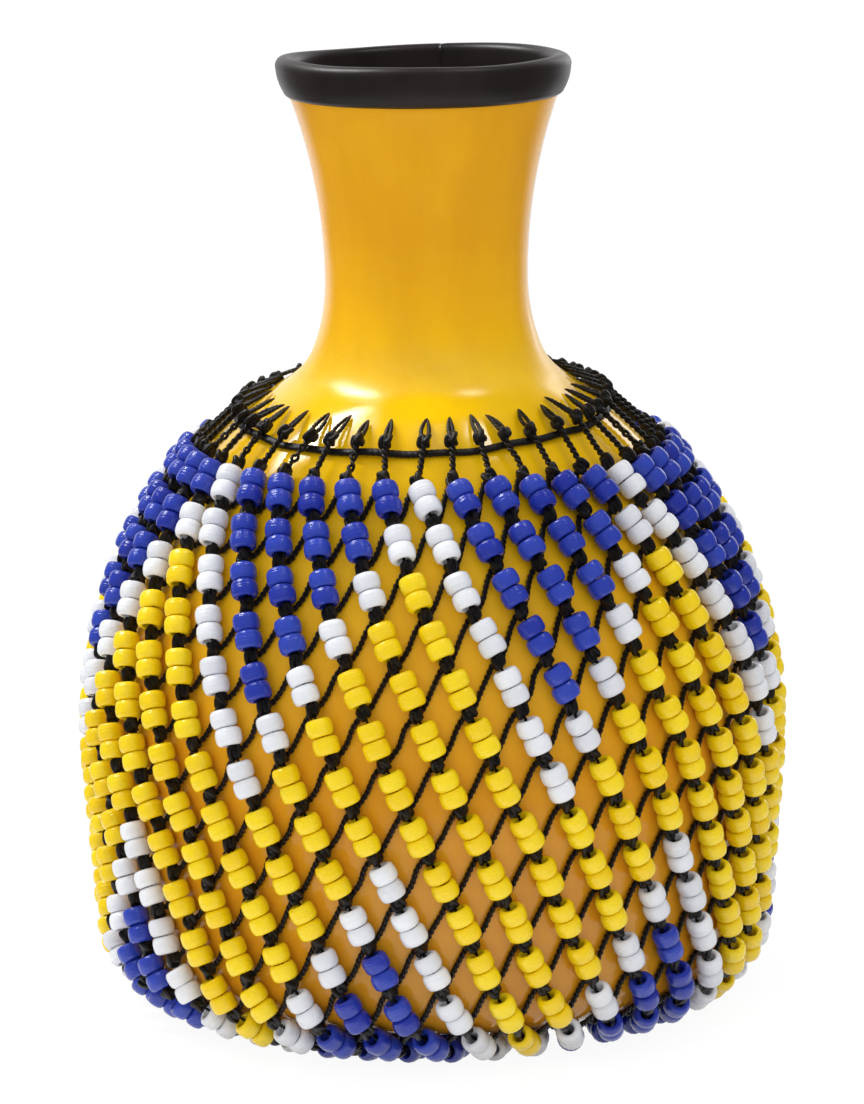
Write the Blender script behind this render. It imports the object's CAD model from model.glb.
"""A shekere on a white studio floor.

A moulded gourd-shaped shell with a rubber-trimmed mouth wears a loose net of
knotted cord, with two beads threaded between each knot and the one below it.
Lengths are in millimetres until a mesh is made. The net's places follow the
same rules as the solids that they cover.
"""
import math

import bpy
import numpy as np
from mathutils import Matrix, Vector


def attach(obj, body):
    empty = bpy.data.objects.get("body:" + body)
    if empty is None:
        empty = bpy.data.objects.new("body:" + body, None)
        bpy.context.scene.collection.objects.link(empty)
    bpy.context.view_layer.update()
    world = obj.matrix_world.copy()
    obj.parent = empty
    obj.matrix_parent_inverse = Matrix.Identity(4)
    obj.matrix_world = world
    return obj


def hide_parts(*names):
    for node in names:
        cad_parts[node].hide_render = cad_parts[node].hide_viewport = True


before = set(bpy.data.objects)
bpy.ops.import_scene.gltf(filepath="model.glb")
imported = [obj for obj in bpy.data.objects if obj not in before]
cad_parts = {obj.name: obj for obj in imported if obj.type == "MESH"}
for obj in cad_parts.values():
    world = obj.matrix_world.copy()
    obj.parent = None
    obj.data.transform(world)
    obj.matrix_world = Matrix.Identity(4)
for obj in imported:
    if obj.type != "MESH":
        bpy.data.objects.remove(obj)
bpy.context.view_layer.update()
rng = np.random.default_rng(7)
MM = 0.001
TURN = 2 * math.pi

# Shell: its belly, shoulder, base corner and pad
SHELL_R, WIDEST_H, WALL = 115, 86.8, 2.8
SHOULDER_R, CORNER_R, PAD_R, PAD_H = 144.5, 21, 38, 0.5
WALL_LEAN = math.radians(4)
# Shell: its neck, from the root to the flared lip
WAIST_R, ROOT_R, THROAT_R, FLARE_R, FLARE_H, LIP_L = 35.1, 22.7, 69, 186, 61.6, 9.3
THROAT_TURN = math.radians(20)
# Rim trim
CROWN_R, FOOT_R, TRIM_H, LIP_BARE, SLOT_GAP = 3.4, 2.8, 14.2, 1.2, 0.1
JOINT_TURN = math.radians(180 - 7)
# Beads and the net's pattern
BEAD_D, BEAD_L, HOLE_D, PAIR_GAP, NET_GAP, BEAD_DIP = 9, 6, 4, 0.2, 0.4, 0.18
REPEAT_COLUMNS, REPEATS = 6, 7
UPPER_PITCH, LOWER_PITCH = 16.2, 15.7
# The first row's place, each row's turn past the last, and the extra turn past the tight row
FIRST_ROW, ROW_TURN = math.radians(39.6), math.radians(3.45)
FIRST_TURN, TIGHT_ROW, TIGHT_TURN = math.radians(0.2), 11, math.radians(0.3)
STRAY, STRAY_DOWN_SHARE = 0.6, 0.8
# Knots, and the bare cords that leave beside one knot and arrive beside the next
CORD_D, RUN_GAP, KNOT_D, KNOT_DROP, KNOT_GAP = 1.3, 0.65, 4.2, 0.9, 0.1
LEAVE, LAST_LEAVE, ARRIVE = 1.1, 1.9, 1.7
# Collar, base cord and ties
RING_D, TIE_D, TIE_LIFT, TIP_L, BASE_TIP_L, TIP_R = 2.2, 2, 0.4, 8, 4, 0.9
COLLAR, COLLAR_SLIP = math.radians(50), math.radians(2.6)
COLLAR_LOW_SIDE, BASE_RING_R = math.radians(-20), 52
COLLAR_TIE_TURN, BASE_TIE_TURN = math.radians(-1.5), math.radians(4)

STRANDS = REPEAT_COLUMNS * REPEATS
MIDDLE_ROW = REPEAT_COLUMNS + 2
LAST_ROW = 2 * MIDDLE_ROW - 1
ALL = np.arange(STRANDS)


# Outlines

def ray(angle):
    """One step out from a centre, at an angle above level."""
    return np.stack([np.cos(angle), np.sin(angle)], -1)


def along(angle):
    """One step round the centre, square to the ray at the same angle."""
    return np.stack([-np.sin(angle), np.cos(angle)], -1)


NET_OFF = BEAD_D / 2 + NET_GAP
RUN_OFF = CORD_D / 2 + RUN_GAP
BASE_Z = NET_OFF + BEAD_D / 2 + BEAD_DIP
SHOULDER_C = np.array([SHELL_R - SHOULDER_R, BASE_Z + WIDEST_H])
ROOT_ANGLE = math.acos((WAIST_R - SHOULDER_C[0] + THROAT_R - (THROAT_R - ROOT_R)
                        * math.cos(THROAT_TURN)) / (SHOULDER_R + ROOT_R))
ROOT_C = SHOULDER_C + (SHOULDER_R + ROOT_R) * ray(ROOT_ANGLE)
THROAT_C = ROOT_C + (THROAT_R - ROOT_R) * ray(THROAT_TURN)
FLARE_C = np.array([WAIST_R + FLARE_R, THROAT_C[1]])
FLARE_ANGLE = math.asin(FLARE_H / FLARE_R)
LIP_WAY = np.array([math.sin(FLARE_ANGLE), math.cos(FLARE_ANGLE)])
LIP_Z = FLARE_C[1] + FLARE_H
WALL_TOP = SHOULDER_C + SHOULDER_R * ray(-WALL_LEAN)
WALL_L = (WALL_TOP[1] - BASE_Z - CORNER_R
          + CORNER_R * math.sin(WALL_LEAN)) / math.cos(WALL_LEAN)
CORNER_C = WALL_TOP - WALL_L * along(-WALL_LEAN) - CORNER_R * ray(-WALL_LEAN)


def arc(centre, radius, start, end, step):
    """Points on an arc, step millimetres apart at most."""
    count = max(2, math.ceil(abs(end - start) * abs(radius) / step) + 1)
    return centre + radius * ray(np.linspace(start, end, count))


def shell_outline(off, step):
    """The shell's outline moved outward by off, from the base's edge to the lip."""
    return np.vstack([
        arc(CORNER_C, CORNER_R + off, -math.pi / 2, -WALL_LEAN, step),
        arc(SHOULDER_C, SHOULDER_R + off, -WALL_LEAN, ROOT_ANGLE, step),
        arc(ROOT_C, ROOT_R - off, ROOT_ANGLE + math.pi, THROAT_TURN + math.pi, step)[1:],
        arc(THROAT_C, THROAT_R - off, THROAT_TURN + math.pi, math.pi, step)[1:],
        arc(FLARE_C, FLARE_R - off, math.pi, math.pi - FLARE_ANGLE, step)[1:],
        [FLARE_C + (FLARE_R - off) * ray(math.pi - FLARE_ANGLE) + LIP_L * LIP_WAY]])


# The net's path down the outside, measured from its first row
SHOULDER_PATH_R = SHOULDER_R + NET_OFF
CORNER_PATH_R = CORNER_R + NET_OFF
WALL_S = SHOULDER_PATH_R * (FIRST_ROW + WALL_LEAN)
CORNER_S = WALL_S + WALL_L
BASE_S = CORNER_S + CORNER_PATH_R * (math.pi / 2 - WALL_LEAN)


def path_angle(s):
    """How far above level the net's path looks outward, s millimetres down it."""
    return np.where(s < WALL_S, FIRST_ROW - s / SHOULDER_PATH_R,
                    np.where(s < CORNER_S, -WALL_LEAN,
                             np.maximum(-WALL_LEAN - (s - CORNER_S) / CORNER_PATH_R,
                                        -math.pi / 2)))


def path(s, off):
    """[radius, height] at s millimetres down the net's path, off millimetres outside it."""
    s, lean = np.asarray(s, float)[..., None], ray(path_angle(s))
    shoulder = SHOULDER_C + (SHOULDER_R + off) * lean
    wall = (WALL_TOP - (s - WALL_S) * along(-WALL_LEAN) + off * ray(-WALL_LEAN))
    corner = CORNER_C + (CORNER_R + off) * lean
    base = np.concatenate([CORNER_C[0] - (s - BASE_S), 0 * s + BASE_Z - off], -1)
    return np.where(s < WALL_S, shoulder,
                    np.where(s < CORNER_S, wall, np.where(s < BASE_S, corner, base)))


def about_axis(flat, turn):
    """[radius, height] turned about the shell's axis, from the front."""
    return np.stack([flat[..., 0] * np.sin(turn), -flat[..., 0] * np.cos(turn),
                     flat[..., 1] + 0 * turn], -1)


def place(s, turn, off):
    """A point s millimetres down the path and off millimetres outside it, in space."""
    return about_axis(path(s, off), turn)


def outward(s, turn):
    """The way straight out from the path there, in space."""
    return about_axis(ray(path_angle(s)), turn)


def unit(v):
    return v / np.linalg.norm(v, axis=-1, keepdims=True)


# The net's places

def row_s(row):
    """How far down the path a row lies."""
    return (UPPER_PITCH * (min(row, MIDDLE_ROW) - 1)
            + LOWER_PITCH * max(0, row - MIDDLE_ROW))


def turn_at(strand, row):
    return (FIRST_TURN + ROW_TURN * (row - 1)
            + TIGHT_TURN * max(0, row - TIGHT_ROW) ** 2 + TURN / STRANDS * strand)


def wave(strand, row, a, b):
    """Hand-tied pairs stray a little: waves of unlike lengths make that uneven but repeatable."""
    return np.sin(np.radians(a * strand + b * row))


def pair_turn(strand, row):
    return turn_at(strand, row) + STRAY / SHELL_R * (
        wave(strand, row, 360 * 5 / STRANDS, 97)
        + wave(strand, row, 360 * 11 / STRANDS, 211)) / 2


def pair_s(strand, row):
    return row_s(row) + STRAY_DOWN_SHARE * STRAY * (
        wave(strand, row, 360 * 3 / STRANDS, 131)
        + wave(strand, row, 360 * 13 / STRANDS, 59)) / 2


def pair_at(strand, row):
    return place(pair_s(strand, row), pair_turn(strand, row), NET_OFF)


def half_step(strand, row):
    """Half the way from a pair to the next one on its strand."""
    near = 0.25
    ends = [place(row_s(r) + 0 * strand, turn_at(strand, r), NET_OFF)
            for r in (row - near, row + near)]
    return (ends[1] - ends[0]) / (4 * near)


def knot_out(strand, row):
    return outward(row_s(row - 0.5) + 0 * strand, pair_turn(strand, row))


def knot_at(strand, row):
    """Midway between the pairs above and below, and a little closer to the shell."""
    if row == 1:
        at = pair_at(strand, 1) - half_step(strand, 1)
    elif row == LAST_ROW + 1:
        at = pair_at(strand, LAST_ROW) + half_step(strand, LAST_ROW)
    else:
        at = (pair_at(strand, row - 1) + half_step(strand, row - 1)
              + pair_at(strand, row) - half_step(strand, row)) / 2
    return at - KNOT_DROP * knot_out(strand, row)


def pair_lie(strand, row):
    return unit(knot_at(strand, row + 1) - knot_at(strand, row))


def pair_centre(strand, row):
    """The middle of a pair of beads, which has slid down to the knot below it."""
    lie, at = pair_lie(strand, row), pair_at(strand, row)
    down = (((knot_at(strand, row + 1) - at) * lie).sum(-1)
            - (KNOT_D + 2 * BEAD_L + PAIR_GAP) / 2 - KNOT_GAP)
    return at + lie * down[:, None]


def beside_knot(strand, row, shift):
    """A point close over the shell, shift millimetres sideways from a knot."""
    out, lie = knot_out(strand, row), pair_lie(strand, min(row, LAST_ROW))
    return (knot_at(strand, row) - (NET_OFF - KNOT_DROP - RUN_OFF) * out
            + shift * unit(np.cross(lie, out)))


def bead_colour(strand, row):
    """Blue triangles edged in white on yellow, wider row by row from the middle one."""
    off = abs(row - MIDDLE_ROW)
    column = (strand if row < MIDDLE_ROW else 2 - strand) % REPEAT_COLUMNS
    if off == 0:
        return "yellow"
    if column in (0, off - 1):
        return "white"
    return "blue" if column < off - 1 else "yellow"


# Mesh making

def mesh_object(name, verts, faces, materials, body, nodes, which=None, values=None):
    """One piece of the object: its mesh in millimetres, its body and the solids it stands for."""
    mesh = bpy.data.meshes.new(name)
    mesh.from_pydata(np.asarray(verts) * MM, [], faces)
    for material in materials:
        mesh.materials.append(material)
    if which is not None:
        mesh.polygons.foreach_set("material_index", np.asarray(which, np.int32))
    mesh.polygons.foreach_set("use_smooth", np.ones(len(mesh.polygons), bool))
    for key, numbers in (values or {}).items():
        mesh.attributes.new(key, "FLOAT", "POINT").data.foreach_set(
            "value", np.asarray(numbers, np.float32))
    mesh.update()
    piece = bpy.data.objects.new(name, mesh)
    bpy.context.scene.collection.objects.link(piece)
    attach(piece, body)
    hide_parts(*nodes)
    return piece


def grid_faces(rings, sides, closed_rings, closed_sides, start=0, flip=False):
    """Quads over a grid of points, closed round one way, both ways or neither."""
    r = np.arange(rings if closed_rings else rings - 1)
    s = np.arange(sides if closed_sides else sides - 1)
    r, s = np.meshgrid(r, s, indexing="ij")
    r2, s2 = (r + 1) % rings, (s + 1) % sides
    quads = np.stack([r * sides + s, r * sides + s2, r2 * sides + s2, r2 * sides + s], -1)
    quads = quads.reshape(-1, 4) + start
    return quads[:, ::-1] if flip else quads


def copies(count, points, faces):
    """The faces of count like pieces that follow each other in one list of points."""
    return [tuple(f[k] + n * points for k in range(len(f)))
            for n in range(count) for f in faces]


def sweep(paths, ups, section):
    """Tubes along many paths at once: points as (tubes, rings, sides, 3)."""
    way = unit(np.gradient(paths, axis=1))
    up = unit(ups - (ups * way).sum(-1, keepdims=True) * way)
    side = np.cross(way, up)
    return (paths[:, :, None] + section[..., 0, None] * side[:, :, None]
            + section[..., 1, None] * up[:, :, None])


def tube_faces(tubes, rings, sides):
    """Tube walls with both ends capped."""
    walls = [tuple(q) for q in grid_faces(rings, sides, False, True, flip=True).tolist()]
    caps = [tuple(range(sides)), tuple(range(rings * sides - 1, (rings - 1) * sides - 1, -1))]
    return copies(tubes, rings * sides, walls + caps)


def laid_cord(distance, radius, pitch, sides, plies=2, depth=0.34, phase=0.0):
    """The section of a twisted cord at each distance along it: a lobe for each ply."""
    angle = np.arange(sides) * TURN / sides
    lobes = radius * (1 - depth + depth * np.abs(np.cos(angle * plies / 2)))
    turned = angle + (distance * TURN / pitch)[..., None] + np.asarray(phase)[..., None]
    return np.stack([lobes * np.cos(turned), lobes * np.sin(turned)], -1)


def smooth_path(points, rings):
    """A curve through each row of points, as (tubes, rings, 3)."""
    points = np.asarray(points)
    count = points.shape[1]
    ghost = np.concatenate([2 * points[:, :1] - points[:, 1:2], points,
                            2 * points[:, -1:] - points[:, -2:-1]], 1)
    t = np.linspace(0, count - 1, rings)
    k = np.minimum(t.astype(int), count - 2)
    u = (t - k)[None, :, None]
    a, b, c, d = (ghost[:, k + n] for n in range(4))
    return 0.5 * (2 * b + (c - a) * u + (2 * a - 5 * b + 4 * c - d) * u ** 2
                  + (3 * b - a - 3 * c + d) * u ** 3)


def lengths_along(paths):
    steps = np.linalg.norm(np.diff(paths, axis=1), axis=-1)
    return np.concatenate([np.zeros((len(paths), 1)), np.cumsum(steps, 1)], 1)


class Parts:
    """Gathers the points and faces of one piece."""

    def __init__(self):
        self.verts, self.faces, self.count = [], [], 0

    def add(self, verts, faces):
        verts = np.asarray(verts).reshape(-1, 3)
        self.verts.append(verts)
        self.faces += [tuple(i + self.count for i in f) for f in faces]
        self.count += len(verts)

    def tubes(self, paths, ups, section):
        verts = sweep(paths, ups, section)
        self.add(verts, tube_faces(*verts.shape[:3]))

    def points(self):
        return np.vstack(self.verts)


# Materials

def linear(code):
    """A colour written as #rrggbb in sRGB, for a socket that takes linear light."""
    parts = [int(code[i:i + 2], 16) / 255 for i in (1, 3, 5)]
    return [c / 12.92 if c <= 0.04045 else ((c + 0.055) / 1.055) ** 2.4 for c in parts] + [1]


def node(tree, kind, inputs=None, **settings):
    """A node with its settings, and each input linked or set."""
    made = tree.nodes.new("ShaderNode" + kind)
    for name, value in settings.items():
        setattr(made, name, value)
    for name, value in (inputs or {}).items():
        if isinstance(value, bpy.types.NodeSocket):
            tree.links.new(value, made.inputs[name])
        else:
            made.inputs[name].default_value = value
    return made


def new_material(name):
    material = bpy.data.materials.new(name)
    material.use_nodes = True
    tree = material.node_tree
    tree.nodes.clear()
    return material, tree


def finish_material(tree, inputs):
    shader = node(tree, "BsdfPrincipled", inputs)
    node(tree, "OutputMaterial", {"Surface": shader.outputs[0]})


def gelcoat():
    """Polyester gelcoat, pigmented amber, straight from a polished mould.

    Deep wet gloss over a faintly wavy wall. The pigment is cloudy and runs in faint upright
    streaks. It is brownest low on the belly, a clear yellow on the shoulder, and a little
    darker again up the neck.
    """
    material, tree = new_material("amber_gelcoat")
    where = node(tree, "TexCoord").outputs["Object"]
    # Clouds 45 mm across, and streaks 12 mm apart and 90 mm long
    clouds = node(tree, "TexNoise", {"Vector": where, "Scale": 1 / (45 * MM), "Detail": 3,
                                     "Roughness": 0.55})
    tall = node(tree, "Mapping", {"Vector": where, "Scale": (1 / (12 * MM), 1 / (12 * MM),
                                                             1 / (90 * MM))})
    streaks = node(tree, "TexNoise", {"Vector": tall.outputs[0], "Scale": 1.0, "Detail": 4,
                                      "Roughness": 0.6})
    mixed = node(tree, "Math", {0: clouds.outputs["Fac"], 1: streaks.outputs["Fac"]},
                 operation="ADD")
    cloudy = node(tree, "MapRange", {"Value": mixed.outputs[0], "From Min": 0.7,
                                     "From Max": 1.3, "To Min": 0.0, "To Max": 1.0})
    height = node(tree, "SeparateXYZ", {"Vector": where}).outputs["Z"]
    up_share = node(tree, "MapRange", {"Value": height, "From Min": 0.0, "From Max": 330 * MM})
    by_height = node(tree, "ValToRGB", {"Fac": up_share.outputs[0]})
    amber = by_height.color_ramp.elements
    amber[0].position, amber[0].color = 0.06, linear("#dc9a20")
    amber[1].position, amber[1].color = 1.0, linear("#ecad1d")
    for share, code in ((0.3, "#f4ae26"), (0.43, "#ffc326"), (0.55, "#ffcb18"),
                        (0.66, "#ffd00e"), (0.74, "#fabd16"), (0.82, "#efae18")):
        amber.new(share).color = linear(code)
    deeper = node(tree, "MixRGB", {"Fac": cloudy.outputs[0], "Color1": linear("#efe7dc"),
                                   "Color2": linear("#fcfaf8")})
    pigment = node(tree, "MixRGB", {"Fac": 1.0, "Color1": by_height.outputs["Color"],
                                    "Color2": deeper.outputs["Color"]}, blend_type="MULTIPLY")
    # Patches rubbed duller, 12 mm across
    rubs = node(tree, "TexNoise", {"Vector": where, "Scale": 1 / (12 * MM), "Detail": 5,
                                   "Roughness": 0.65})
    rubbed = node(tree, "MapRange", {"Value": rubs.outputs["Fac"], "From Min": 0.35,
                                     "From Max": 0.75, "To Min": 0.06, "To Max": 0.16})
    # The tight hollow under the neck, 218 to 230 mm up, is hard to reach with a polishing mop
    above = node(tree, "MapRange", {"Value": height, "From Min": 216.5 * MM,
                                    "From Max": 221.5 * MM, "To Min": 0.0, "To Max": 0.2})
    below = node(tree, "MapRange", {"Value": height, "From Min": 238 * MM,
                                    "From Max": 228 * MM})
    hollow = node(tree, "Math", {0: above.outputs[0], 1: below.outputs[0]},
                  operation="MULTIPLY")
    dull = node(tree, "Math", {0: rubbed.outputs[0], 1: hollow.outputs[0]}, operation="ADD")
    # Waves left by the mould, 30 mm long, and the gelcoat's fine peel, 3 mm long
    waves = node(tree, "TexNoise", {"Vector": where, "Scale": 1 / (30 * MM), "Detail": 1})
    peel = node(tree, "TexNoise", {"Vector": where, "Scale": 1 / (3 * MM), "Detail": 2})
    low = node(tree, "Bump", {"Height": waves.outputs["Fac"], "Distance": 1.1 * MM,
                              "Strength": 1.0})
    fine = node(tree, "Bump", {"Height": peel.outputs["Fac"], "Distance": 0.03 * MM,
                               "Strength": 0.6, "Normal": low.outputs[0]})
    finish_material(tree, {"Base Color": pigment.outputs["Color"],
                           "Roughness": dull.outputs[0], "IOR": 1.5,
                           "Normal": fine.outputs[0]})
    return material


def laminate():
    """The back of a chopped-strand glass laminate: bare brown resin, with strands proud."""
    material, tree = new_material("bare_fibreglass_laminate")
    where = node(tree, "TexCoord").outputs["Object"]
    # Strands about 1.5 mm wide and 25 mm long lie three ways over each other
    strands = None
    for turn in ((0.0, 0.3, 0.2), (0.9, 0.4, 2.3), (2.1, -0.5, 4.0)):
        laid = node(tree, "Mapping", {"Vector": where, "Rotation": turn,
                                      "Scale": (1 / (1.5 * MM), 1 / (1.5 * MM), 1 / (25 * MM))})
        bundle = node(tree, "TexNoise", {"Vector": laid.outputs[0], "Scale": 1.0,
                                         "Detail": 1}).outputs["Fac"]
        strands = bundle if strands is None else node(
            tree, "Math", {0: strands, 1: bundle}, operation="MAXIMUM").outputs[0]
    ramp = node(tree, "ValToRGB", {"Fac": strands})
    stops = ramp.color_ramp.elements
    stops[0].position, stops[0].color = 0.48, linear("#7d531c")
    stops[1].position, stops[1].color = 0.72, linear("#b99052")
    bump = node(tree, "Bump", {"Height": strands, "Distance": 0.6 * MM, "Strength": 0.8})
    finish_material(tree, {"Base Color": ramp.outputs["Color"], "Roughness": 0.55,
                           "IOR": 1.55, "Normal": bump.outputs[0]})
    return material


def trim_rubber():
    """Extruded EPDM rubber tube: soot black, with a soft bloom where hands rub it."""
    material, tree = new_material("extruded_black_rubber")
    where = node(tree, "TexCoord").outputs["Object"]
    # The bloom lies in patches 25 mm across, over a grain of 0.6 mm
    bloom = node(tree, "TexNoise", {"Vector": where, "Scale": 1 / (25 * MM), "Detail": 4,
                                    "Roughness": 0.6})
    ramp = node(tree, "ValToRGB", {"Fac": bloom.outputs["Fac"]})
    stops = ramp.color_ramp.elements
    stops[0].position, stops[0].color = 0.35, linear("#1e1717")
    stops[1].position, stops[1].color = 0.7, linear("#2b2221")
    dull = node(tree, "MapRange", {"Value": bloom.outputs["Fac"], "From Min": 0.3,
                                   "From Max": 0.7, "To Min": 0.34, "To Max": 0.46})
    grain = node(tree, "TexNoise", {"Vector": where, "Scale": 1 / (0.6 * MM), "Detail": 2})
    bump = node(tree, "Bump", {"Height": grain.outputs["Fac"], "Distance": 0.02 * MM,
                               "Strength": 0.5})
    finish_material(tree, {"Base Color": ramp.outputs["Color"],
                           "Roughness": dull.outputs[0], "IOR": 1.5,
                           "Specular IOR Level": 0.4, "Normal": bump.outputs[0]})
    return material


def nylon_cord():
    """Twisted black nylon: waxy filaments that catch a brown-grey light on each ply."""
    material, tree = new_material("twisted_black_nylon")
    where = node(tree, "TexCoord").outputs["Object"]
    # Filaments are about 0.03 mm, drawn 0.3 mm wide so that they show
    fibres = node(tree, "TexNoise", {"Vector": where, "Scale": 1 / (0.3 * MM), "Detail": 3,
                                     "Roughness": 0.6})
    ramp = node(tree, "ValToRGB", {"Fac": fibres.outputs["Fac"]})
    stops = ramp.color_ramp.elements
    stops[0].position, stops[0].color = 0.35, linear("#060404")
    stops[1].position, stops[1].color = 0.7, linear("#191210")
    bump = node(tree, "Bump", {"Height": fibres.outputs["Fac"], "Distance": 0.12 * MM,
                               "Strength": 0.7})
    finish_material(tree, {"Base Color": ramp.outputs["Color"], "Roughness": 0.45,
                           "IOR": 1.53, "Normal": bump.outputs[0]})
    return material


def bead_plastic(name, dark, light):
    """Injection-moulded polystyrene bead: bright gloss, with faint flow lines round it."""
    material, tree = new_material(name)
    tone = node(tree, "Attribute", attribute_name="tone").outputs["Fac"]
    ramp = node(tree, "ValToRGB", {"Fac": tone})
    stops = ramp.color_ramp.elements
    stops[0].position, stops[0].color = 0.0, linear(dark)
    stops[1].position, stops[1].color = 1.0, linear(light)
    where = node(tree, "TexCoord").outputs["Object"]
    across = node(tree, "Attribute", attribute_name="along_hole").outputs["Fac"]
    # Flow lines lie about 0.6 mm apart round the bead, and are unlike from bead to bead.
    # along_hole is in millimetres. The sunk patches are 4 mm across
    each = node(tree, "Math", {0: tone, 1: 53.0}, operation="MULTIPLY")
    line = node(tree, "CombineXYZ", {"X": across, "Y": each.outputs[0], "Z": 0.0})
    lines = node(tree, "TexNoise", {"Vector": line.outputs[0], "Scale": 1.8, "Detail": 2})
    sunk = node(tree, "TexNoise", {"Vector": where, "Scale": 1 / (4 * MM), "Detail": 2})
    both = node(tree, "Math", {0: lines.outputs["Fac"], 1: sunk.outputs["Fac"]},
                operation="ADD")
    bump = node(tree, "Bump", {"Height": both.outputs[0], "Distance": 0.4 * MM,
                               "Strength": 0.7})
    dull = node(tree, "MapRange", {"Value": sunk.outputs["Fac"], "From Min": 0.3,
                                   "From Max": 0.7, "To Min": 0.14, "To Max": 0.26})
    finish_material(tree, {"Base Color": ramp.outputs["Color"],
                           "Roughness": dull.outputs[0], "IOR": 1.59,
                           "Normal": bump.outputs[0]})
    return material


CORD = nylon_cord()
BEAD_PLASTIC = {
    "white": bead_plastic("white_polystyrene", "#dddfe6", "#eef0f5"),
    "blue": bead_plastic("blue_polystyrene", "#1f2f9c", "#3147b4"),
    "yellow": bead_plastic("yellow_polystyrene", "#f5cf08", "#fbdd1a"),
}


# The shell

def make_shell():
    """The hollow shell, with its bare inside, as one closed wall."""
    step, sides = 2.5, 192
    outer = shell_outline(0, step)
    inner = shell_outline(-WALL, step)[::-1]
    # The pad's edge is rounded over, and runs out softly into the base
    pad_edge = [[PAD_R - 0.6, BASE_Z - PAD_H], [PAD_R, BASE_Z - PAD_H + 0.12],
                [PAD_R + 0.5, BASE_Z - 0.05], [PAD_R + 3, BASE_Z]]
    profile = np.vstack([pad_edge, outer, inner])
    turn = np.arange(sides) * TURN / sides
    verts = about_axis(profile[:, None, :] * np.ones((1, sides, 1)), turn[None])
    faces = [tuple(q) for q in grid_faces(len(profile), sides, False, True, flip=True).tolist()]
    inside_from = len(pad_edge) + len(outer) - 1
    which = [int(n // sides >= inside_from) for n in range(len(faces))]
    # One point under the pad and one on the floor inside close the wall's two ends
    count = len(profile) * sides
    verts = np.vstack([verts.reshape(-1, 3), [[0, 0, BASE_Z - PAD_H], [0, 0, BASE_Z + WALL]]])
    last = (len(profile) - 1) * sides
    for s in range(sides):
        n = (s + 1) % sides
        faces.append((count, s, n))
        faces.append((count + 1, last + n, last + s))
        which += [0, 1]
    mesh_object("moulded_shell", verts, faces, [gelcoat(), laminate()],
                "shell", ["shell"], which)


def trim_sag(turn):
    """How far the pushed-on tube's edge sinks: most at the back left, less round its joint."""
    return (-1.4 * np.exp(-((turn - JOINT_TURN - 0.72) / 0.5) ** 2)
            - 0.7 * np.exp(-((turn - JOINT_TURN) / 1.3) ** 2) + 0.1 * np.sin(5 * turn + 2.0))


def make_trim():
    """The rubber tube on the flared lip, slit along its foot, its ends butted together."""
    step, rings, bulge = 0.7, 240, 0.45
    half_cut, cut_share, cut_turn = 0.03, 0.03, 0.012
    # Its section: a small round foot on the lip, a larger round crown, and straight cheeks
    base = FLARE_C + (FLARE_R + WALL / 2) * ray(math.pi - FLARE_ANGLE)
    foot = base + (LIP_BARE + FOOT_R) * LIP_WAY
    crown = np.array([(base + LIP_L * LIP_WAY)[0], LIP_Z + LIP_BARE + TRIM_H - CROWN_R])
    way = crown - foot
    cheek = math.asin((CROWN_R - FOOT_R) / math.hypot(*way))
    tilt = math.atan2(way[1], way[0])
    out_cheek, in_cheek = tilt - math.pi / 2 - cheek, tilt + math.pi / 2 + cheek
    across = np.array([LIP_WAY[1], -LIP_WAY[0]])
    half = WALL / 2 + SLOT_GAP
    slit = math.acos(half / FOOT_R)
    lean = -FLARE_ANGLE
    floor = LIP_L + SLOT_GAP
    # The slot for the lip, with a point on each wall 2 mm short of its floor, for even shading
    slot = [base + side * half * across + up * LIP_WAY
            for side, up in ((-1, floor - 2), (-1, floor), (1, floor), (1, floor - 2))]
    # The outer cheek bulges a little
    t = np.linspace(0, 1, 11)[1:-1, None]
    bulging = ((1 - t) * (foot + FOOT_R * ray(out_cheek))
               + t * (crown + CROWN_R * ray(out_cheek))
               + bulge * np.sin(math.pi * t) ** 0.8 * ray(out_cheek))
    profile = np.vstack([
        arc(foot, FOOT_R, lean - slit, out_cheek, step),
        bulging,
        arc(crown, CROWN_R, out_cheek, in_cheek, step),
        arc(foot, FOOT_R, in_cheek, lean + math.pi + slit, step),
        slot])
    half_gap = half_cut / foot[0]
    turn = np.linspace(JOINT_TURN + half_gap, JOINT_TURN + TURN - half_gap, rings)
    flat = profile[None] * np.ones((rings, 1, 1))
    low = LIP_Z + LIP_BARE
    height = np.clip((profile[:, 1] - low) / TRIM_H, 0, 1)
    # The sag and a slight want of roundness grow towards the crown
    sag = trim_sag(turn) + trim_sag(turn - TURN)
    flat[..., 1] += np.minimum(sag, 0.1)[:, None] * (0.2 + 0.8 * height[None])
    flat[..., 0] += 0.35 * np.sin(3 * turn + 1.1)[:, None] * height[None] ** 2
    # Each cut end is drawn in a little, so that the joint shows as a fine groove
    from_joint = np.minimum(turn - turn[0], turn[-1] - turn)
    drawn_in = cut_share * np.exp(-(from_joint / cut_turn) ** 2)
    flat -= drawn_in[:, None, None] * (flat - (foot + crown) / 2)
    verts = about_axis(flat, turn[:, None])
    sides = len(profile)
    faces = [tuple(q) for q in grid_faces(rings, sides, False, True).tolist()]
    faces += [tuple(range(sides)), tuple(range(rings * sides - 1, (rings - 1) * sides - 1, -1))]
    tube = mesh_object("rubber_rim_tube", verts.reshape(-1, 3), faces, [trim_rubber()],
                       "shell", ["rim_trim"])
    for cut in tube.data.polygons[-2:]:
        cut.use_smooth = False


# Beads

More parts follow.
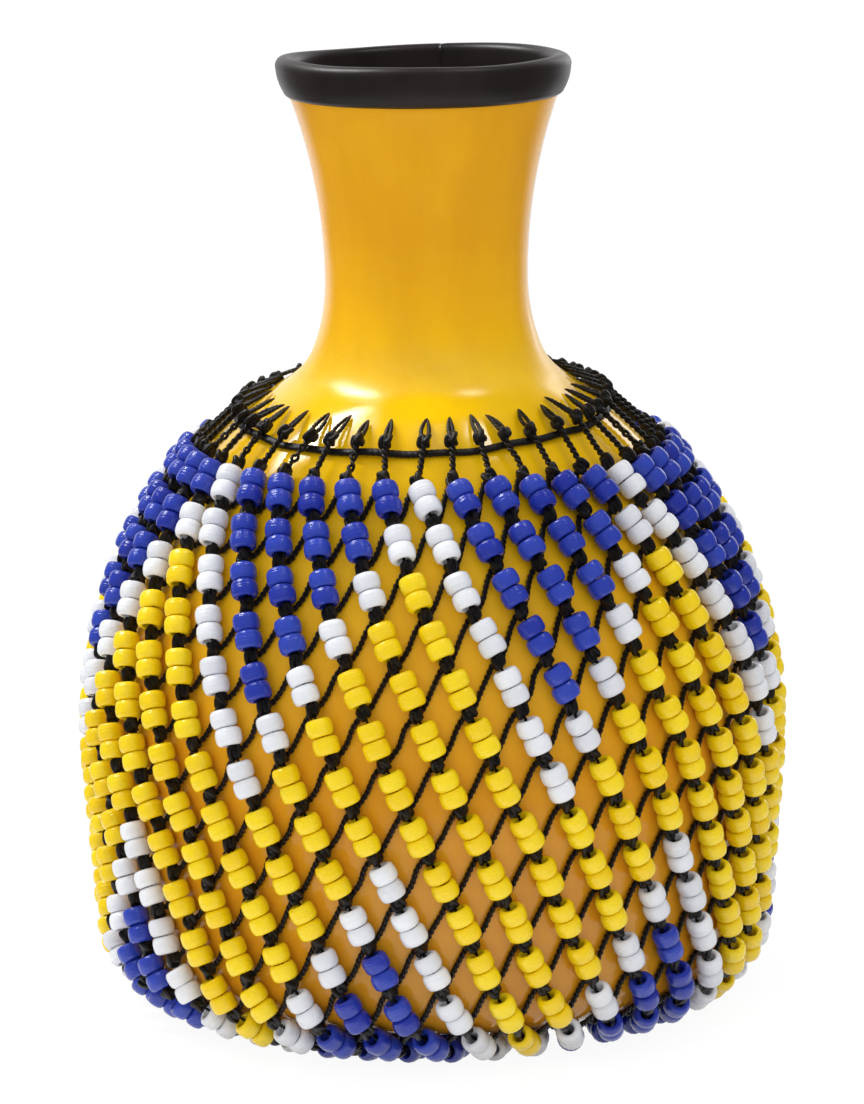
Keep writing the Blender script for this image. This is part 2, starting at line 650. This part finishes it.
# Half a bead's outline as (distance from its middle, radius), from its waist over its soft
# edge and into its hole
BARREL = [(0.0, BEAD_D / 2), (1.0, 4.46), (1.9, 4.27), (2.52, 3.92), (2.88, 3.43),
          (BEAD_L / 2, 2.88), (2.83, 2.38), (2.3, HOLE_D / 2 + 0.1)]
HOLE_MIDDLE = (0.0, HOLE_D / 2 - 0.02)
# How a bead strays on its cord, and the most that it may: the lean of a pair, the lean of
# each bead in it, and the slip sideways
PAIR_LEAN, MOST_PAIR_LEAN = math.radians(3.2), 0.1
BEAD_LEAN, MOST_BEAD_LEAN = math.radians(1.4), 0.04
SLIP, MOST_SLIP = 0.14, 0.25


def bead_shape(sides=18):
    """A pony bead about the x axis: a soft-edged barrel with a flared hole."""
    ring = np.array(BARREL + [HOLE_MIDDLE] + [(-x, r) for x, r in BARREL[:0:-1]])
    angle = np.arange(sides) * TURN / sides
    verts = np.stack([ring[:, None, 0] + 0 * angle, ring[:, None, 1] * np.cos(angle),
                      ring[:, None, 1] * np.sin(angle)], -1)
    faces = [tuple(q) for q in grid_faces(len(ring), sides, True, True).tolist()]
    return verts.reshape(-1, 3), faces


BEAD_POINTS, BEAD_FACES = bead_shape()


def make_beads(row, colour):
    """The beads of one colour in a row: each hangs a little askew on its cord."""
    strands = np.array([s for s in range(STRANDS) if bead_colour(s, row) == colour])
    lie, centre = pair_lie(strands, row), pair_centre(strands, row)
    out = knot_out(strands, row)
    out = unit(out - (out * lie).sum(-1, keepdims=True) * lie)
    side = np.cross(lie, out)
    verts, tone, across = [], [], []
    count = len(strands)
    askew = rng.normal(0, PAIR_LEAN, (count, 2)).clip(-MOST_PAIR_LEAN, MOST_PAIR_LEAN) * [1, 0.5]
    for end in (-1, 1):
        tilt = askew + rng.normal(0, BEAD_LEAN, (count, 2)).clip(-MOST_BEAD_LEAN, MOST_BEAD_LEAN)
        slip = rng.normal(0, SLIP, (count, 2)).clip(-MOST_SLIP, MOST_SLIP)
        axis = unit(lie + tilt[:, :1] * side + tilt[:, 1:] * out)
        up = unit(out - (out * axis).sum(-1, keepdims=True) * axis)
        wide = np.cross(axis, up)
        middle = (centre + lie * end * (BEAD_L + PAIR_GAP) / 2
                  + slip[:, :1] * side + np.abs(slip[:, 1:]) * out)
        size = rng.uniform(1.0, 1.025, (count, 1, 1))
        spin = rng.uniform(0, TURN, (count, 1))
        x, y, z = BEAD_POINTS.T
        turned_y = y * np.cos(spin) - z * np.sin(spin)
        turned_z = y * np.sin(spin) + z * np.cos(spin)
        points = (x[None, :, None] * axis[:, None] + turned_y[..., None] * up[:, None]
                  + turned_z[..., None] * wide[:, None])
        bead = middle[:, None] + points * size
        # No bead sinks into what the net stands on
        bead[..., 2] -= np.minimum(bead[..., 2].min(1), 0)[:, None]
        verts.append(bead.reshape(-1, 3))
        tone.append(np.repeat(rng.uniform(0, 1, count), len(BEAD_POINTS)))
        across.append(np.tile(x, count))
    verts = np.vstack(verts)
    node_name = f"{colour}_beads_row_{row:02d}"
    mesh_object("moulded_" + node_name, verts,
                copies(2 * count, len(BEAD_POINTS), BEAD_FACES),
                [BEAD_PLASTIC[colour]], "net", [node_name],
                values={"tone": np.concatenate(tone), "along_hole": np.concatenate(across)})


# Cords

# Radii of the strung cord, of a tie's loop, and of one ply of a bare cord and of a tie's
# leg, and the lengths in which their plies wind once round
STRUNG_R, LOOP_R, BARE_PLY_R, TIE_PLY_R = 0.8, 0.84, 0.58, 0.62
NET_LAY, LOOP_LAY, TIE_LAY = 3.8, 3.4, 4.6
# The flat braid of the collar and base cords: half its width and height, the depth of its
# grooves, and how much closer it lies to the shell than its solid, which is thicker
BRAID_W, BRAID_H, GROOVE_W, GROOVE_H, BRAID_DOWN = 1.4, 0.86, 0.1, 0.11, 0.2


def knots(parts, at, axis, out, width=5.7, length=5.5, ply=0.95):
    """Overhand knots pulled tight: the cord's three-lobed crossing, drawn out lengthwise."""
    count, rings, sides, core_rings = len(at), 36, 6, 7
    out = unit(out - (out * axis).sum(-1, keepdims=True) * axis)
    side = np.cross(axis, out)
    t = np.linspace(0, TURN, rings, endpoint=False)[None]
    size = rng.uniform(0.93, 1.05, (count, 1))
    wide, tall = size * (width / 2 - ply) / 3, size * (length / 2 - ply)
    spin, hand = rng.uniform(0, TURN, (count, 1)), rng.choice([-1, 1], (count, 1))
    # A trefoil, the line of an overhand knot, leans a little and is spun by chance
    x = wide * (np.sin(t) + 2 * np.sin(2 * t)) * hand
    y = wide * (np.cos(t) - 2 * np.cos(2 * t))
    x, y = x * np.cos(spin) - y * np.sin(spin), x * np.sin(spin) + y * np.cos(spin)
    z = -tall * np.sin(3 * t) + 0.35 * x
    paths = (at[:, None] + x[..., None] * side[:, None] + y[..., None] * out[:, None]
             + z[..., None] * axis[:, None])
    way = unit(np.roll(paths, -1, 1) - np.roll(paths, 1, 1))
    up = paths - at[:, None]
    up = unit(up - (up * way).sum(-1, keepdims=True) * way)
    edge = np.cross(way, up)
    angle = np.arange(sides) * TURN / sides
    verts = (paths[:, :, None] + ply * (np.cos(angle)[:, None] * edge[:, :, None]
                                        + np.sin(angle)[:, None] * up[:, :, None]))
    walls = [tuple(q) for q in grid_faces(rings, sides, True, True, flip=True).tolist()]
    parts.add(verts, copies(count, rings * sides, walls))
    # The crossings close over a solid middle
    u = np.linspace(0, math.pi, core_rings)
    core = np.stack([np.sin(u)[:, None] * np.cos(angle), np.sin(u)[:, None] * np.sin(angle),
                     np.cos(u)[:, None] + 0 * angle], -1).reshape(-1, 3)
    reach = np.array([width / 2 - 0.95 * ply, width / 2 - 0.95 * ply, length / 2 - 0.8 * ply])
    core = core[None] * reach * size[..., None]
    walls = grid_faces(core_rings, sides, False, True, flip=True).tolist()
    parts.add(at[:, None] + core[..., :1] * side[:, None] + core[..., 1:2] * out[:, None]
              + core[..., 2:] * axis[:, None], copies(count, core_rings * sides, walls))


def laid_cords(parts, points, ups, rings, ply, pitch, sides=5, taper=None, apart=None):
    """Cords of two plies that wind round each other along smooth paths."""
    paths = smooth_path(points, rings)
    way = unit(np.gradient(paths, axis=1))
    up = ups[:, None] + 0 * paths
    up = unit(up - (up * way).sum(-1, keepdims=True) * way)
    side = np.cross(way, up)
    wound = lengths_along(paths) * TURN / pitch + rng.uniform(0, TURN, (len(paths), 1))
    share = np.ones(rings) if taper is None else taper
    # The two plies press a little into each other
    for half in (0, math.pi):
        off = 0.9 * ply * share * (np.cos(wound + half)[..., None] * side
                                   + np.sin(wound + half)[..., None] * up).transpose(2, 0, 1)
        ply_paths = paths + off.transpose(1, 2, 0)
        if apart is not None:
            ply_paths = ply_paths + math.cos(half) * apart[..., None] * side
        angle = np.arange(sides) * TURN / sides
        section = ply * np.stack([np.cos(angle), np.sin(angle)], -1)
        section = section * share[None, :, None, None] + np.zeros((len(paths), 1, 1, 1))
        parts.tubes(ply_paths, up, section)


def make_net_cords(row):
    """A row's knots, the cord that its beads hang on, and its bare cord."""
    parts = Parts()
    strung_rings, bare_rings, clear = 16, 42, 1.6
    knot, below = knot_at(ALL, row), knot_at(ALL, row + 1)
    out, lie = knot_out(ALL, row), unit(below - knot)
    knots(parts, knot, lie, out)
    strung = smooth_path(np.stack([knot, (knot + below) / 2, below], 1), strung_rings)
    phase = rng.uniform(0, TURN, (STRANDS, 1)) + np.zeros((1, strung_rings))
    parts.tubes(strung, out[:, None] + 0 * strung,
                laid_cord(lengths_along(strung), STRUNG_R, NET_LAY, 6, phase=phase))
    leave = beside_knot(ALL, row, LAST_LEAVE if row == LAST_ROW else LEAVE)
    other = ALL - 1
    arrive = beside_knot(other, row + 1, -ARRIVE)
    target = knot_at(other, row + 1)
    way = unit(arrive - leave)
    first, last = leave + way * clear, arrive - way * clear
    across = unit(np.cross(way, out))
    # Each bare cord starts and ends inside a knot, and bends a little to and fro on its way
    bend, sway = (rng.normal(0.22, 0.16, (STRANDS, 1)) * across for _ in range(2))
    bare = np.stack([knot * 0.45 + leave * 0.55, first,
                     first * 0.7 + last * 0.3 + bend, first * 0.3 + last * 0.7 - sway, last,
                     target * 0.45 + arrive * 0.55], 1)
    laid_cords(parts, bare, out, bare_rings, BARE_PLY_R, NET_LAY)
    node_name = f"net_cords_row_{row:02d}"
    mesh_object("knotted_" + node_name, parts.points(), parts.faces, [CORD], "net",
                [node_name])


def make_ties(name, knot, knot_way, tie_knot, tip, out, node_name, with_foot):
    """Ties: a doubled cord to a knot, and its free end, a pointed loop."""
    parts = Parts()
    count, leg_rings, tip_rings = len(knot), 44, 18
    way = unit(tie_knot - knot)
    side = unit(np.cross(way, out))
    sway = rng.normal(0, 0.35, (count, 1)) * side
    leg = np.stack([knot, knot * 0.65 + tie_knot * 0.35 + sway,
                    knot * 0.3 + tie_knot * 0.7 - sway / 2, tie_knot], 1)
    t = np.linspace(0, 1, leg_rings)
    # Some of the doubled cords stand apart between their knots instead of winding tight
    loose = np.where(rng.uniform(0, 1, (count, 1)) < 0.35, rng.uniform(0.3, 0.7, (count, 1)), 0)
    laid_cords(parts, leg, out, leg_rings, TIE_PLY_R, TIE_LAY, 6,
               apart=loose * np.sin(math.pi * np.clip(t * 1.15, 0, 1)))
    knots(parts, tie_knot, way, out, width=5.4, length=5.0)
    if with_foot:
        knots(parts, knot, knot_way, out)
    # The loop beyond the knot opens unevenly, leans, and closes to a melted point
    free = tip - tie_knot
    stretch = rng.uniform(1.1, 1.38, (count, 1))
    open_by = rng.uniform(0.3, 1.35, (count, 1))
    lean = rng.normal(0, 1.5, (count, 1)).clip(-3, 3) * side
    along_shares = np.array([0.1, 0.3, 0.55, 0.8, 1.0])
    widths = np.array([0.5, 1.05, 0.95, 0.5, 0.12])
    radius = LOOP_R * np.interp(np.linspace(0, 1, tip_rings), [0, 0.5, 0.85, 1],
                                [1, 1, 0.66, 0.3])
    for hand in (-1, 1):
        points = [tie_knot + free * stretch * a + hand * b * open_by * side + lean * a ** 2
                  + (0.5 * out if a < 0.9 else 0.3 * out)
                  for a, b in zip(along_shares, widths)]
        paths = smooth_path(np.stack(points, 1), tip_rings)
        phase = rng.uniform(0, TURN, (count, 1)) + np.zeros((1, tip_rings))
        section = laid_cord(lengths_along(paths), 1.0, LOOP_LAY, 7, depth=0.3, phase=phase)
        parts.tubes(paths, out[:, None] + 0 * paths, section * radius[None, :, None, None])
    mesh_object(name, parts.points(), parts.faces, [CORD], "net", [node_name])


def ring_cord(name, points, lay, node_name, pitch=1.9):
    """A closed ring of flat braid: its strands make slanting ridges that meet midway."""
    count, sides = len(points), 16
    way = unit(np.roll(points, -1, 0) - np.roll(points, 1, 0))
    up = unit(points * [1, 1, 0])
    up = unit(up - (up * way).sum(-1, keepdims=True) * way)
    side = np.cross(way, up)
    # The braid lies flat on the shell: its thin way leans up from level by lay
    wide = math.sin(lay) * up + math.cos(lay) * side
    thin = math.cos(lay) * up - math.sin(lay) * side
    total = np.linalg.norm(np.roll(points, -1, 0) - points, axis=-1).sum()
    wound = (np.arange(count) * TURN * round(total / pitch) / count)[:, None]
    angle = (np.arange(sides) + 0.5) * TURN / sides
    from_middle = np.abs((angle - math.pi / 2 + math.pi) % TURN - math.pi)
    ridge = np.abs(np.sin((wound + 2.2 * from_middle) / 2))
    swell = 1 + 0.03 * np.sin(np.arange(count) * TURN * 9 / count)[:, None]
    flat, tall = (np.sign(v) * np.abs(v) ** 0.8 for v in (np.cos(angle), np.sin(angle)))
    flat = (BRAID_W - GROOVE_W * (1 - ridge)) * swell * flat
    tall = (BRAID_H - GROOVE_H * (1 - ridge)) * tall
    verts = (points[:, None] + flat[..., None] * wide[:, None]
             + (tall - BRAID_DOWN)[..., None] * thin[:, None])
    faces = [tuple(q) for q in grid_faces(count, sides, True, True, flip=True).tolist()]
    mesh_object(name, verts.reshape(-1, 3), faces, [CORD], "net", [node_name])


def make_collar():
    """The cord round the shoulder, which leans to one side, and the ties over it."""
    off = RING_D / 2 + NET_GAP
    low = SHOULDER_C + (SHOULDER_R + off) * ray(COLLAR - COLLAR_SLIP)
    high = SHOULDER_C + (SHOULDER_R + off) * ray(COLLAR + COLLAR_SLIP)
    radius = math.hypot(low[0] + high[0], high[1] - low[1]) / 2
    lean = math.atan2(high[1] - low[1], low[0] + high[0])
    count = 1100
    t = np.arange(count) * TURN / count
    ring = np.stack([radius * np.cos(t), radius * np.sin(t), 0 * t], -1)
    tilt = np.array(Matrix.Rotation(lean, 3, "Y"))
    spin = np.array(Matrix.Rotation(COLLAR_LOW_SIDE - math.pi / 2, 3, "Z"))
    centre = np.array([(low[0] - high[0]) / 2, 0, (low[1] + high[1]) / 2])
    # It is drawn up and down a little between its ties
    ring[:, 2] += 0.35 * np.sin(7 * t + 1.0) + 0.25 * np.sin(17 * t)
    ring_cord("braided_collar_cord", (ring @ tilt.T + centre) @ spin.T, COLLAR,
              "collar_cord")
    # The ties slide along the collar and stand closer together in places
    turn = (pair_turn(ALL, 1) + COLLAR_TIE_TURN
            + 0.022 * wave(ALL, 1, 360 * 9 / STRANDS, 40) + rng.uniform(-0.012, 0.012, STRANDS))
    s = ((FIRST_ROW - COLLAR + COLLAR_SLIP * np.cos(turn - COLLAR_LOW_SIDE))
         * SHOULDER_PATH_R - (RING_D + KNOT_D) / 2)
    tie_off = NET_GAP + RING_D + TIE_LIFT + TIE_D / 2
    make_ties("knotted_collar_ties", knot_at(ALL, 1), None, place(s, turn, tie_off),
              place(s - KNOT_D / 2 - TIP_L, turn, TIP_R + NET_GAP), outward(s, turn),
              "collar_ties", False)


def make_base():
    """The level cord under the base that draws the net in, and the ties over it."""
    count = 880
    t = np.arange(count) * TURN / count
    height = BASE_Z - RING_D / 2 - NET_GAP
    ring = np.stack([BASE_RING_R * np.cos(t), BASE_RING_R * np.sin(t), height + 0 * t], -1)
    ring_cord("braided_base_cord", ring, -math.pi / 2, "base_cord")
    turn = pair_turn(ALL, LAST_ROW) + BASE_TIE_TURN
    s = BASE_S + CORNER_C[0] - BASE_RING_R + (RING_D + KNOT_D) / 2 + 0 * turn
    tie_off = NET_GAP + RING_D + TIE_LIFT + TIE_D / 2
    make_ties("knotted_base_ties", knot_at(ALL, LAST_ROW + 1), pair_lie(ALL, LAST_ROW),
              place(s, turn, tie_off),
              place(s + KNOT_D / 2 + BASE_TIP_L, turn, TIP_R + NET_GAP), outward(s, turn),
              "base_ties", True)


make_shell()
make_trim()
for row in range(1, LAST_ROW + 1):
    make_net_cords(row)
    for colour in BEAD_PLASTIC:
        if f"{colour}_beads_row_{row:02d}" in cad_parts:
            make_beads(row, colour)
make_collar()
make_base()


# Studio, in metres

WHITE = (1, 1, 1, 1)


def studio_mesh(name, verts, faces, material):
    """A surface of the studio, which is no part of the object."""
    mesh = bpy.data.meshes.new(name)
    mesh.from_pydata(verts, [], faces)
    mesh.materials.append(material)
    surface = bpy.data.objects.new(name, mesh)
    bpy.context.scene.collection.objects.link(surface)
    return surface


def seen_directly(tree):
    """One for the rays that look at a surface straight, in a mirror or through glass."""
    rays = node(tree, "LightPath").outputs
    mirrored = node(tree, "Math", {0: rays["Is Camera Ray"], 1: rays["Is Glossy Ray"]},
                    operation="MAXIMUM")
    return node(tree, "Math", {0: mirrored.outputs[0], 1: rays["Is Transmission Ray"]},
                operation="MAXIMUM").outputs[0]


def white_paper():
    """Matt white paper: it looks white to the eye and still takes a faint shadow."""
    material, tree = new_material("white_paper_sweep")
    paper = node(tree, "BsdfDiffuse", {"Color": linear("#f4f4f4")})
    glow = node(tree, "Emission", {"Color": WHITE, "Strength": 1.06})
    share = node(tree, "Math", {0: seen_directly(tree), 1: 0.88}, operation="MULTIPLY")
    mixed = node(tree, "MixShader", {0: share.outputs[0], 1: paper.outputs[0],
                                     2: glow.outputs[0]})
    node(tree, "OutputMaterial", {"Surface": mixed.outputs[0]})
    return material


def make_floor():
    half = 12
    plane = studio_mesh("paper_sweep", [(-half, -half, 0), (half, -half, 0), (half, half, 0),
                                        (-half, half, 0)], [(0, 1, 2, 3)], white_paper())


def dim_room():
    """The unlit room, only mirrored in the object: white behind it, where the paper hangs."""
    material, tree = new_material("dim_room")
    share = node(tree, "Attribute", attribute_name="white_share").outputs["Fac"]
    strength = node(tree, "MapRange", {"Value": share, "To Min": 0.1, "To Max": 1.0})
    glow = node(tree, "Emission", {"Color": WHITE, "Strength": strength.outputs[0]})
    node(tree, "OutputMaterial", {"Surface": glow.outputs[0]})
    turns, room_r, start_r, lift = 96, 3.4, 0.16, 0.002
    turn = (np.arange(turns) + 0.5) * TURN / turns - math.pi
    # Just over the floor from close by the object, then up a dome
    floor = start_r * (room_r / start_r) ** np.linspace(0, 1, 20)
    rise = np.linspace(0, math.pi / 2 - 0.01, 25)
    radius = np.concatenate([floor, room_r * np.cos(rise)[1:]])
    height = np.concatenate([lift + 0 * floor, lift + room_r * np.sin(rise)[1:]])

    def smooth(v, low, high):
        v = np.clip((v - low) / (high - low), 0, 1)
        return v * v * (3 - 2 * v)

    # White behind the object, up to about 30 degrees above level, and on the floor close by
    behind = smooth(np.abs(turn), 2.15, 2.6)[None]
    up = np.arctan2(height, radius)[:, None]
    near = smooth(-radius, -0.42, -0.2)[:, None]
    white = np.maximum(behind * (1 - smooth(up, 0.5, 0.85)), near)
    verts = np.stack([radius[:, None] * np.sin(turn), -radius[:, None] * np.cos(turn),
                      height[:, None] + 0 * turn], -1).reshape(-1, 3)
    room = studio_mesh("dim_room", verts,
                       grid_faces(len(radius), turns, False, True).tolist(), material)
    room.data.attributes.new("white_share", "FLOAT", "POINT").data.foreach_set(
        "value", white.astype(np.float32).ravel())
    room.visible_camera = room.visible_diffuse = room.visible_shadow = False


def soft_light(name, size, power, at, aim):
    """A soft box, brightest in its middle, turned to face a point."""
    data = bpy.data.lights.new(name, "AREA")
    data.shape, data.energy = "RECTANGLE", power
    data.size, data.size_y = size
    data.use_nodes = True
    tree = data.node_tree
    tree.nodes.clear()
    spot = node(tree, "NewGeometry").outputs["Parametric"]
    away = node(tree, "VectorMath", {0: spot, 1: (0.5, 0.5, 0.0)}, operation="DISTANCE")
    fade = node(tree, "MapRange", {"Value": away.outputs["Value"], "From Min": 0.25,
                                   "From Max": 0.55, "To Min": 1.0, "To Max": 0.0},
                interpolation_type="SMOOTHSTEP")
    glow = node(tree, "Emission", {"Color": WHITE, "Strength": fade.outputs[0]})
    node(tree, "OutputLight", {"Surface": glow.outputs[0]})
    lamp = bpy.data.objects.new(name, data)
    back = Vector(at) - Vector(aim)
    lamp.matrix_world = (Matrix.Translation(at)
                         @ back.to_track_quat("Z", "Y").to_matrix().to_4x4())
    bpy.context.scene.collection.objects.link(lamp)


def studio_world():
    """A room that is brightest above the front, and looks white where it is seen or mirrored."""
    world = bpy.data.worlds.new("white_studio")
    world.use_nodes = True
    tree = world.node_tree
    tree.nodes.clear()
    where = node(tree, "TexCoord").outputs["Generated"]
    facing = node(tree, "VectorMath", {0: where, 1: (-0.15, -0.66, 0.74)},
                  operation="DOT_PRODUCT")
    bright = node(tree, "MapRange", {"Value": facing.outputs["Value"], "From Min": -0.3,
                                     "From Max": 1.0, "To Min": 0.3, "To Max": 1.16})
    room = node(tree, "Background", {"Color": WHITE, "Strength": bright.outputs[0]})
    white = node(tree, "Background", {"Color": WHITE, "Strength": 1.0})
    mixed = node(tree, "MixShader", {0: seen_directly(tree), 1: room.outputs[0],
                                     2: white.outputs[0]})
    node(tree, "OutputWorld", {"Surface": mixed.outputs[0]})
    return world


def make_studio():
    make_floor()
    dim_room()
    soft_light("key_box", (0.42, 1.0), 33, (-0.87, 0.43, 1.6), (0, 0, 0.2))
    soft_light("top_box", (0.3, 0.3), 3.2, (0.42, 0.05, 1.55), (0, 0, 0.2))
    soft_light("edge_strip", (0.4, 1.2), 2.5, (0.75, 1.35, 0.6), (0, 0, 0.22))
    bpy.context.scene.world = studio_world()
    bpy.context.scene.view_settings.view_transform = "Standard"


def make_camera():
    """The photograph's view: from 1.56 m in front, looking 11.93 degrees down."""
    data = bpy.data.cameras.new("camera")
    data.lens, data.sensor_width = 148.7, 36
    data.clip_start, data.clip_end = 0.1, 100
    camera = bpy.data.objects.new("camera", data)
    camera.matrix_world = (Matrix.Rotation(math.radians(1.2), 4, "Z")
                           @ Matrix.Translation((0.0006, -1.56, 0.4855))
                           @ Matrix.Rotation(math.radians(90 - 11.93), 4, "X")
                           @ Matrix.Rotation(math.radians(-0.8), 4, "Z"))
    bpy.context.scene.collection.objects.link(camera)
    bpy.context.scene.camera = camera


make_studio()
make_camera()
